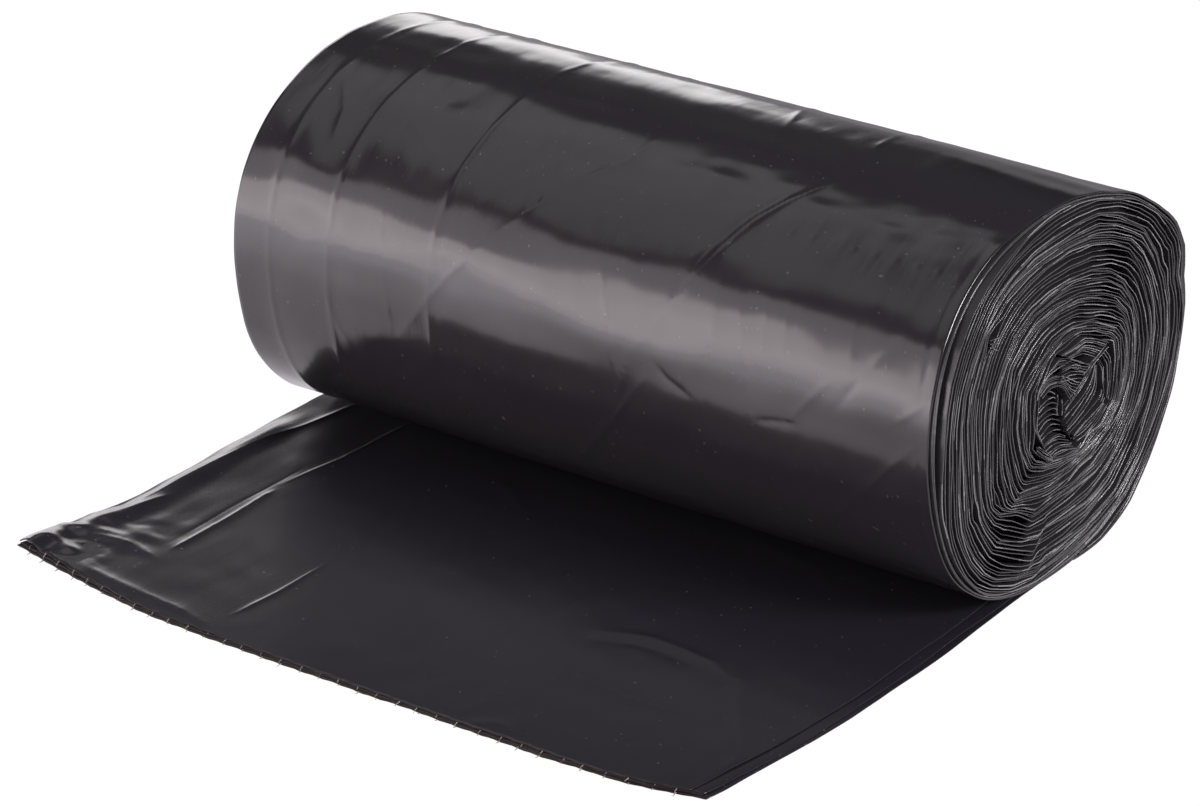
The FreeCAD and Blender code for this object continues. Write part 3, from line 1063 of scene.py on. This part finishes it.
    def core_strips(self) -> list[Surface]:
        """The plies of the flattened core."""
        draw = np.random.default_rng(self.seed + 50)
        made = []
        proud = self.proud_inside if self.end is RollEnd.NEAR else -self.far_recess
        for bundle in self.bundles:
            for y, z in bundle.runs(0.62 * self.step):
                share = np.linspace(0.0, 1.0, len(y))
                sway = draw.uniform(-0.35, 0.35) + 0.3 * np.sin(
                    share * draw.uniform(2.0, 5.0) + draw.uniform(0.0, 6.0))
                edge = self.half_length + proud + bundle.stand + sway - 0.3
                lean = np.full(y.shape, draw.uniform(-0.12, 0.22))
                half = np.full(y.shape, self.ply_half * draw.uniform(0.55, 1.0))
                # Runs of painted glint along the core's ply edges.
                pale = np.sin(share * draw.uniform(3.0, 9.0) + draw.uniform(0.0, 6.0)) > 0.25
                made.append(self.strip(y, z, edge, half, lean, pale))
        return made

    def backing(self) -> Surface:
        """A dark sheet behind the edges, so that no light passes between the plies."""
        count = 120
        angle = np.linspace(0.0, 2.0 * math.pi, count + 1)
        x = (self.half_length - self.backing_depth) * self.end.value
        rings = []
        for ply in np.linspace(2.0, self.rings[-1].ply, 10):
            y, z = self.place(angle, np.full(angle.shape, ply))
            rings.append(np.stack([np.full(y.shape, x), y, z], axis=-1))
        rings.append(np.tile([x, *self.middle], (count + 1, 1)))
        return Surface(np.concatenate(rings), grid_faces(len(rings), count + 1),
                       np.full((len(rings) - 1) * count, Part.FACE.value))

    def build(self) -> bpy.types.Object:
        """Make the edges of all the plies at this end."""
        parts = [self.wound_strip(ply) for ply in range(self.winding.plies)]
        parts += [self.skin_strip(ply) for ply in range(1, self.winding.plies)]
        parts += self.core_strips() + [self.backing()]
        firsts = np.cumsum([0] + [len(part.points) for part in parts[:-1]])
        surface = Surface(np.concatenate([part.points for part in parts]),
                          np.concatenate([part.faces + first
                                          for part, first in zip(parts, firsts)]),
                          np.concatenate([part.slots for part in parts]))
        name = "near_turn_ends" if self.end is RollEnd.NEAR else "far_turn_ends"
        return make_object(name, surface, [self.finishes.turns, self.finishes.turn_edges,
                                           self.finishes.pale_edges])


@dataclass
class TailPly:
    """One ply of the free tail, a thin slab of folded film with rounded side edges.

    Its points lie closer together in the fine bands, measured in from the left edge. The
    left and right lines give (y, x) and the front line gives (x, y).
    """

    name: str
    winding: Winding
    finishes: Finishes
    bottom: float
    thickness: float
    right_inset: float
    front_inset: float
    lift: float
    step: float
    seed: int
    crinkled: bool = False
    fine: tuple[tuple[float, float], ...] = ()
    fine_step: float = 0.4
    row_step: float = 1.9
    deepest: float = -0.12
    corner: tuple[float, float] = (-119.7, -146.0)
    corner_reach: tuple[float, float] = (62.0, 52.0)
    half_length: float = 115.0
    reach: float = 152.0
    join: float = 7.9
    left_line: tuple[tuple[float, float], ...] = (
        (-142, -120.2), (-136, -118.7), (-130, -117.4), (-124, -116.3), (-116, -115.1),
        (-108, -114.4), (-96, -114.1), (-84, -114.1), (-76, -114.6), (-64, -115.4),
        (-48, -116.2), (-36, -116.9), (-26, -117.4), (8, -116.4),
    )
    right_line: tuple[tuple[float, float], ...] = (
        (-150, 112.6), (-146, 114.2), (-140, 115.0), (-132, 115.6), (-124, 116.5),
        (-116, 117.2), (-108, 117.6), (-92, 117.7), (-80, 117.4), (-64, 116.6), (-48, 115.5),
        (-36, 114.6), (-26, 113.9), (-19, 113.2), (-12, 112.6), (8, 111.4),
    )
    front_line: tuple[tuple[float, float], ...] = (
        (-121, -139.6), (-116, -140.9), (-104, -143.6), (-92, -145.9), (-80, -148.0),
        (-68, -149.8), (-56, -150.8), (-40, -151.1), (-8, -151.4), (28, -151.8), (64, -151.5),
        (84, -151.2), (92, -150.6), (100, -149.2), (112, -146.4), (120, -144.2),
    )

    def left_edge(self, y: np.ndarray) -> np.ndarray:
        """The hollow left edge, which flares at its front corner and by the roll."""
        wander = Ripples(self.seed, 0.30, 22.0, 22.0).at(y, np.zeros(y.shape))
        return np.interp(y, *np.array(self.left_line).T) + wander

    def right_edge(self, y: np.ndarray) -> np.ndarray:
        """The bowed right edge, which draws back where the roll covers it."""
        wander = Ripples(self.seed + 1, 0.25, 30.0, 30.0).at(y, np.zeros(y.shape))
        return np.interp(y, *np.array(self.right_line).T) - self.right_inset + wander

    def front_edge(self, x: np.ndarray) -> np.ndarray:
        """The perforated front edge, bowed forwards in its middle."""
        notch = 0.16 * np.cos(2.0 * math.pi * x / 6.5 + self.seed)
        wander = Ripples(self.seed + 2, 0.2, 16.0, 16.0).at(x, np.zeros(x.shape))
        return np.interp(x, *np.array(self.front_line).T) + self.front_inset + notch + wander

    def corner_lift(self, x: np.ndarray, y: np.ndarray) -> np.ndarray:
        """How far the front left corner stands off the floor."""
        along = np.clip((x - self.corner[0]) / self.corner_reach[0], 0.0, 1.0)
        back = np.clip((y - self.corner[1]) / self.corner_reach[1], 0.0, 1.0)
        rise = (1.0 - along) ** 1.4 * along ** 0.35 * 1.7
        return self.lift * rise * (1.0 - back) ** 1.5

    def relief(self, x: np.ndarray, y: np.ndarray) -> np.ndarray:
        """Waves, folds and crinkles of the ply's upper face."""
        height = Ripples(self.seed + 3, 0.10, 60.0, 50.0).at(x, y)
        if not self.crinkled:
            return height
        inside = x - self.left_edge(y)
        by_roll = smooth_step((-28.0 - y) / 20.0)
        by_corner = smooth_step((-34.0 - y) / 60.0)
        near_left = smooth_step((34.0 - inside) / 20.0)
        near_corner = near_left * smooth_step((-98.0 - y) / 30.0)
        height = height + 1.0 * np.exp(-((inside - 5.2) / 3.6) ** 2) * by_roll * (
            1.0 + 0.6 * np.sin(y / 7.0) * np.sin(y / 17.0 + 1.0))
        for seed, size, length_x, length_y, where in (
                (4, 0.20, 9.0, 26.0, near_left * by_corner), (5, 0.52, 24.0, 8.0, near_corner),
                (7, 0.13, 9.0, 4.0, near_corner), (6, 0.02, 14.0, 10.0, 1.0)):
            waves = Ripples(self.seed + seed, size, length_x, length_y)
            height = height + waves.at(x, y) * where
        for crease in self.creases():
            height = height + crease.at(x, y)
        return np.maximum(height, self.deepest)

    def creases(self) -> list[Crease]:
        """The creases of the top ply."""
        return [
            Crease(((-105.0, -20), (-107.5, -45), (-110.0, -72), (-110.1, -104)), 0.34, 0.9, 0.06),
            Crease(((-84.6, -22), (-84.1, -40), (-84.1, -52), (-86.5, -73)), 0.34, 0.8, 0.2),
            Crease(((-85.6, -77), (-85.0, -84), (-83.5, -101)), 0.48, 0.9, 0.15),
            Crease(((-84.0, -98), (-83.2, -110), (-82.7, -120)), 0.45, 1.0, 0.2),
            Crease(((-88.5, -60), (-88.0, -90), (-86.0, -118)), -0.14, 0.6, 0.2),
            Crease(((-44.1, -101), (-42.9, -123), (-43.5, -140)), 0.30, 0.65, 0.2),
            Crease(((-108.4, -110), (-107.0, -102), (-106.0, -95)), 0.5, 1.7, 0.3),
            Crease(((-101.9, -125.0), (-92.0, -124.3), (-81.3, -127.2)), 0.42, 1.5, 0.35),
            Crease(((-117.0, -124.4), (-106.7, -123.6), (-97.0, -121.6)), 0.45, 1.8, 0.35),
            Crease(((-110, -133), (-100, -130), (-90, -134)), 0.40, 1.4, 0.35),
            Crease(((-104, -138), (-96, -136), (-88, -139)), -0.3, 1.3, 0.35),
            Crease(((-42.6, -148.4), (-56.9, -145.0), (-72.2, -144.0), (-89, -142)), 0.36, 1.5, 0.3),
            Crease(((-60, -149.0), (-74, -146.6), (-86, -144.5)), 0.2, 0.8, 0.3),
            Crease(((-113, -137), (-100, -140.5), (-86, -143), (-70, -145.5)), 0.45, 2.0, 0.3),
            Crease(((37, -93.5), (44, -90), (52, -87.6), (64, -88.3), (74, -90), (84, -95)),
                   0.34, 1.5, 0.3),
            Crease(((40, -97.5), (50, -93), (60, -92.5), (70, -94.5)), -0.22, 1.4, 0.3),
            Crease(((37, -113), (55, -114.5), (72, -117), (92, -113.5)), 0.14, 1.6, 0.3),
            Crease(((79, -85), (92, -104), (103, -117), (110, -126), (109, -134)), 0.24, 0.8, 0.15),
            Crease(((-43, -37), (-33, -41), (-26, -46), (-20, -48)), 0.30, 1.4, 0.3),
            Crease(((33, -27), (47, -29), (60, -31), (70, -36), (78, -42)), 0.20, 1.6, 0.3),
            Crease(((71, -24), (80, -35), (90, -49)), 0.14, 1.4, 0.3),
            Crease(((43, -151), (50, -146), (57, -148)), 0.30, 1.5, 0.4),
        ]

    def grid(self) -> tuple[np.ndarray, np.ndarray, np.ndarray]:
        """Plan positions of the slab's points and how far each is from a side edge."""
        edge_steps = self.thickness * np.array([0.0, 0.08, 0.3, 0.7])
        last = 2.0 * self.half_length - self.right_inset - self.thickness * 1.2
        width = 2.0 * self.half_length - self.right_inset
        inner, place = [], self.thickness * 1.2
        while place < last:
            inner.append(place)
            place += self.fine_step if any(a < place < b for a, b in self.fine) else self.step
        offsets = np.concatenate([edge_steps, inner, (width - edge_steps)[::-1]])
        share = offsets / width
        gap = np.minimum(offsets, width - offsets)
        rows = int((self.join + self.reach) / self.row_step)
        back = np.linspace(0.0, 1.0, rows)[:, None]
        x = -self.half_length + share[None, :] * width
        for _ in range(2):
            front = self.front_edge(x)
            y = front + (self.join - front) * back
            left, right = self.left_edge(y), self.right_edge(y)
            x = left + (right - left) * share[None, :]
        return x, y, gap[None, :] + np.zeros(x.shape)

    def build(self) -> bpy.types.Object:
        """Make the ply as a closed slab.

        Returns:
            The ply.
        """
        x, y, gap = self.grid()
        half = self.thickness / 2.0
        round_off = np.sqrt(np.clip(1.0 - (1.0 - np.clip(gap / half, 0.0, 1.0)) ** 2, 0.06, 1.0))
        under_roll = smooth_step((y + 30.0) / 16.0)
        middle = self.bottom + half + self.corner_lift(x, y)
        middle = middle + self.relief(x, y) * (1.0 - under_roll)
        middle = np.maximum(middle, half)
        upper = np.stack([x, y, middle + half * round_off], axis=-1)
        lower = np.stack([x, y, middle - half * round_off], axis=-1)
        rows, columns = x.shape
        count = rows * columns
        top = grid_faces(rows, columns)
        under = grid_faces(rows, columns, count)[:, ::-1]
        across = np.arange(columns - 1)
        front = np.stack([across, across + count, across + 1 + count, across + 1], axis=1)
        down = np.arange(rows - 1) * columns
        left = np.stack([down, down + columns, down + columns + count, down + count], axis=1)
        last = down + columns - 1
        right = np.stack([last, last + count, last + columns + count, last + columns], axis=1)
        end = (rows - 1) * columns + across
        back = np.stack([end, end + 1, end + 1 + count, end + count], axis=1)
        faces = np.concatenate([top, under, front, left, right, back])
        slots = np.full(len(faces), Part.FACE.value)
        slots[len(top) + len(under):len(top) + len(under) + len(front)] = Part.EDGE.value
        points = np.concatenate([upper.reshape(-1, 3), lower.reshape(-1, 3)])
        piece = make_object(self.name, Surface(points, faces, slots),
                            [self.finishes.tail, self.finishes.cut_edge])
        return piece


@dataclass
class Nibs:
    """The torn ties of the perforation, hanging from the tail's front edge."""

    plies: list[TailPly]
    finishes: Finishes
    pitch: float = 6.5
    first: float = -114.0
    last: float = 108.0
    half_width: float = 0.19
    seed: int = 77

    def curl(self, start: np.ndarray, length: float, bend: float, sway: float) -> np.ndarray:
        """Centre line of one tie, curling out and down from the edge."""
        share = np.linspace(0.0, 1.0, 6)
        tilt = bend * share
        forward = -np.cumsum(np.cos(tilt)) * length / 6.0
        down = -np.cumsum(np.sin(tilt)) * length / 6.0
        side = sway * share ** 2
        return start + np.stack([side, forward - forward[0], down - down[0]], axis=1)

    def strand(self, line: np.ndarray, width: float, first: int) -> Surface:
        """A thin three-sided strand along a line, tapering to its tip."""
        count = len(line)
        taper = np.linspace(1.0, 0.35, count) * width
        sides = np.radians([90.0, 210.0, 330.0])
        ring = np.stack([np.cos(sides), np.zeros(3), np.sin(sides)], axis=1)
        points = (line[:, None, :] + taper[:, None, None] * ring[None, :, :]).reshape(-1, 3)
        faces = []
        for place in range(count - 1):
            for side in range(3):
                here, ahead = place * 3 + side, place * 3 + (side + 1) % 3
                faces.append([first + here, first + ahead, first + ahead + 3, first + here + 3])
        return Surface(points, np.array(faces))

    def build(self) -> bpy.types.Object:
        """Make all the ties of the front edge."""
        draw = np.random.default_rng(self.seed)
        points, faces, total = [], [], 0
        for ply in self.plies:
            for x in np.arange(self.first, self.last, self.pitch):
                x = x + draw.uniform(-0.5, 0.5)
                spot = np.array([x])
                y = ply.front_edge(spot)
                height = ply.bottom + ply.thickness / 2.0 + ply.corner_lift(spot, y)[0]
                start = np.array([x, y[0] + 0.15, max(height, 0.3)])
                length = draw.uniform(0.9, 2.2)
                bend = draw.uniform(0.2, 2.0)
                line = self.curl(start, length, bend, draw.uniform(-0.4, 0.4))
                line[:, 2] = np.maximum(line[:, 2], 0.12)
                strand = self.strand(line, self.half_width * draw.uniform(0.7, 1.3), total)
                points.append(strand.points)
                faces.append(strand.faces)
                total += len(strand.points)
        surface = Surface(np.concatenate(points), np.concatenate(faces))
        return make_object("perforation_nibs", surface, [self.finishes.nib])


@dataclass(frozen=True)
class Camera:
    """The camera at the photograph's place, angles in degrees and lengths in millimetres."""

    azimuth: float = 39.703
    elevation: float = 24.019
    roll: float = -1.942
    distance: float = 1384.76
    aim: tuple[float, float, float] = (25.29, -72.83, 53.74)
    focal_pixels: float = 5483.4
    image_width: float = 1200.0
    sensor: float = 36.0

    def build(self) -> None:
        """Place the camera and make it the scene's own."""
        side, rise, tip = (math.radians(a) for a in (self.azimuth, self.elevation, self.roll))
        back = Vector((math.sin(side) * math.cos(rise), -math.cos(side) * math.cos(rise),
                       math.sin(rise)))
        right = Vector((0.0, 0.0, 1.0)).cross(back).normalized()
        up = back.cross(right)
        tipped_right = right * math.cos(tip) + up * math.sin(tip)
        tipped_up = up * math.cos(tip) - right * math.sin(tip)
        place = (Vector(self.aim) + back * self.distance) * MM
        data = bpy.data.cameras.new("camera")
        data.sensor_width = self.sensor
        data.lens = self.focal_pixels / self.image_width * self.sensor
        data.clip_start = 0.05
        data.clip_end = 60.0
        camera = bpy.data.objects.new("camera", data)
        axes = Matrix((tipped_right, tipped_up, back)).transposed()
        camera.matrix_world = Matrix.Translation(place) @ axes.to_4x4()
        bpy.context.scene.collection.objects.link(camera)
        bpy.context.scene.camera = camera


@dataclass(frozen=True)
class SoftBox:
    """A studio lamp with a rectangular face, turned towards the roll."""

    name: str
    direction: tuple[float, float, float]
    distance: float
    size: tuple[float, float]
    power: float
    colour: tuple[float, float, float] = (1.0, 1.0, 1.0)

    def build(self) -> None:
        """Hang the lamp and aim it at the middle of the roll."""
        data = bpy.data.lights.new(self.name, "AREA")
        data.shape = "RECTANGLE"
        data.size, data.size_y = self.size
        data.energy = self.power
        data.color = self.colour
        lamp = bpy.data.objects.new(self.name, data)
        target = Vector((0.0, -0.04, 0.05))
        towards = Vector(self.direction).normalized()
        lamp.location = target + towards * self.distance
        lamp.rotation_euler = towards.to_track_quat("Z", "Y").to_euler()
        bpy.context.scene.collection.objects.link(lamp)


@dataclass(frozen=True)
class Studio:
    """A plain white studio: the floor, the surroundings and the lamps."""

    floor_size: float = 12.0
    floor_gap: float = 0.0002
    floor_white: float = 0.80
    shadow_share: float = 0.05
    glow: float = 1.03
    # Painted shade and light in the floor's reflected glow: dimmer behind the roll, brighter far in
    # front; back_dim also dims the surroundings on the dim side.
    back_dim: float = 0.28
    back_from: tuple[float, float] = (0.08, 0.30)
    front_gain: float = 3.4
    front_from: tuple[float, float] = (0.05, 0.50)
    front: tuple[float, float, float] = (-0.59, -0.81, 0.0)
    dim_side: tuple[float, float, float] = (-0.35, 0.94, 0.0)
    dim_cosine: tuple[float, float] = (0.84, 0.95)
    tint: tuple[float, float, float] = (1.0, 0.935, 1.0)
    glow_elevation: tuple[float, float] = (0.07, 0.20)
    dark: float = 0.075
    ambient: float = 0.42
    lamps: tuple[SoftBox, ...] = (
        SoftBox("key_lamp", (-0.58, -0.80, 0.16), 1.35, (1.7, 0.50), 8.4, (1.0, 0.90, 0.915)),
        SoftBox("wide_lamp", (-0.58, -0.80, 0.34), 1.40, (1.7, 0.85), 8.0, (1.0, 0.91, 0.93)),
        SoftBox("upper_lamp", (-0.58, -0.02, 0.81), 1.5, (1.6, 0.46), 1.68, (1.0, 0.96, 0.99)),
        SoftBox("side_lamp", (-0.78, 0.62, 0.12), 1.4, (0.9, 0.40), 2.5, (1.0, 0.97, 0.97)),
        SoftBox("end_lamp", (0.93, 0.10, 0.42), 1.4, (0.5, 0.30), 20.0, (1.0, 0.97, 1.0)),
    )

    def tinted(self, tree: bpy.types.NodeTree,
               seen: bpy.types.NodeSocket) -> bpy.types.NodeSocket:
        """White where the camera sees it, and faintly tinted in the film's reflections."""
        return mix_node(tree, "RGBA", seen, (*self.tint, 1.0), (1.0, 1.0, 1.0, 1.0))

    def floor_material(self) -> bpy.types.Material:
        """White paper, white where seen; its glow in the film's reflections has painted shade behind
        the roll and a painted pool of light far in front of it.
        """
        material = bpy.data.materials.new("white_floor")
        material.use_nodes = True
        tree = material.node_tree
        shader = tree.nodes["Principled BSDF"]
        shader.inputs["Base Color"].default_value = (*([self.floor_white] * 3), 1.0)
        shader.inputs["Roughness"].default_value = 0.9
        shader.inputs["Specular IOR Level"].default_value = 0.0
        path = tree.nodes.new("ShaderNodeLightPath")
        seen = path.outputs["Is Camera Ray"]
        place = tree.nodes.new("ShaderNodeNewGeometry").outputs["Position"]
        split = tree.nodes.new("ShaderNodeSeparateXYZ")
        tree.links.new(place, split.inputs[0])
        # Painted shade behind the roll and a painted pool of light far in front, in the glow that
        # reflections see.
        dimmed = ramp_node(tree, split.outputs["Y"], self.back_from, (self.glow, self.back_dim))
        gain = ramp_node(tree, reach_node(tree, place, self.front), self.front_from,
                         (1.0, self.front_gain))
        reflected = math_node(tree, "MULTIPLY", dimmed, gain)
        white = tree.nodes.new("ShaderNodeEmission")
        tree.links.new(mix_node(tree, "FLOAT", seen, reflected, self.glow),
                       white.inputs["Strength"])
        tree.links.new(self.tinted(tree, seen), white.inputs["Color"])
        bright = math_node(tree, "MAXIMUM", seen, path.outputs["Is Glossy Ray"])
        bright = math_node(tree, "MAXIMUM", bright, path.outputs["Is Transmission Ray"])
        share = math_node(tree, "MULTIPLY", bright, 1.0 - self.shadow_share)
        mix = tree.nodes.new("ShaderNodeMixShader")
        tree.links.new(share, mix.inputs[0])
        tree.links.new(shader.outputs[0], mix.inputs[1])
        tree.links.new(white.outputs[0], mix.inputs[2])
        tree.links.new(mix.outputs[0], tree.nodes["Material Output"].inputs["Surface"])
        return material

    def floor(self) -> None:
        """Lay the white floor, which keeps a faint shadow."""
        half = self.floor_size / 2.0
        corners = [(-half, -half, 0.0), (half, -half, 0.0), (half, half, 0.0), (-half, half, 0.0)]
        mesh = bpy.data.meshes.new("floor")
        mesh.from_pydata(corners, [], [(0, 1, 2, 3)])
        mesh.materials.append(self.floor_material())
        floor = bpy.data.objects.new("floor", mesh)
        floor.location.z = -self.floor_gap
        bpy.context.scene.collection.objects.link(floor)

    def surroundings(self) -> None:
        """Light the room: white where seen, a low white horizon, dark above it."""
        world = bpy.data.worlds.new("studio")
        bpy.context.scene.world = world
        world.use_nodes = True
        tree = world.node_tree
        background = tree.nodes["Background"]
        place = tree.nodes.new("ShaderNodeTexCoord").outputs["Generated"]
        split = tree.nodes.new("ShaderNodeSeparateXYZ")
        tree.links.new(place, split.inputs[0])
        path = tree.nodes.new("ShaderNodeLightPath")
        seen = path.outputs["Is Camera Ray"]
        horizon = ramp_node(tree, split.outputs["Z"], self.glow_elevation, (1.0, self.dark))
        dimmed = ramp_node(tree, reach_node(tree, place, self.dim_side), self.dim_cosine,
                           (1.0, self.back_dim))
        reflected = math_node(tree, "MULTIPLY", horizon, dimmed)
        unseen = mix_node(tree, "FLOAT", path.outputs["Is Diffuse Ray"], reflected, self.ambient)
        tree.links.new(mix_node(tree, "FLOAT", seen, unseen, 1.0),
                       background.inputs["Strength"])
        tree.links.new(self.tinted(tree, seen), background.inputs["Color"])

    def build(self) -> None:
        """Set up the studio and its view."""
        self.floor()
        self.surroundings()
        for lamp in self.lamps:
            lamp.build()
        bpy.context.scene.view_settings.view_transform = "Standard"


def tail_plies(winding: Winding, finishes: Finishes) -> list[TailPly]:
    """The plies of the tail, from the one on the floor to the one on top."""
    return [
        TailPly("tail_bottom_ply", winding, finishes, bottom=0.0, thickness=0.35,
                right_inset=0.0, front_inset=0.0, lift=0.2, step=1.9, seed=301),
        TailPly("tail_middle_ply", winding, finishes, bottom=0.42, thickness=0.35,
                right_inset=1.3, front_inset=0.35, lift=0.7, step=1.9, seed=321),
        TailPly("tail_top_ply", winding, finishes, bottom=0.9, thickness=0.35,
                right_inset=4.6, front_inset=0.6, lift=1.5, step=1.35, seed=341,
                crinkled=True, fine=((0.0, 41.0), (68.0, 80.0)), row_step=1.0),
    ]


def main() -> None:
    """Build the roll, its studio and its camera, in order."""
    logging.basicConfig(level=logging.INFO, format="%(name)s %(message)s")
    winding = Winding()
    finishes = Finishes.build()
    Camera().build()
    Studio().build()
    OuterWrap(winding, finishes).build()
    TurnEnds(winding, finishes, RollEnd.NEAR, seed=40, step=0.95).build()
    TurnEnds(winding, finishes, RollEnd.FAR, seed=140, step=2.1).build()
    plies = tail_plies(winding, finishes)
    for ply in plies:
        ply.build()
    Nibs([plies[0], plies[2]], finishes).build()


if __name__ == "__main__":
    main()
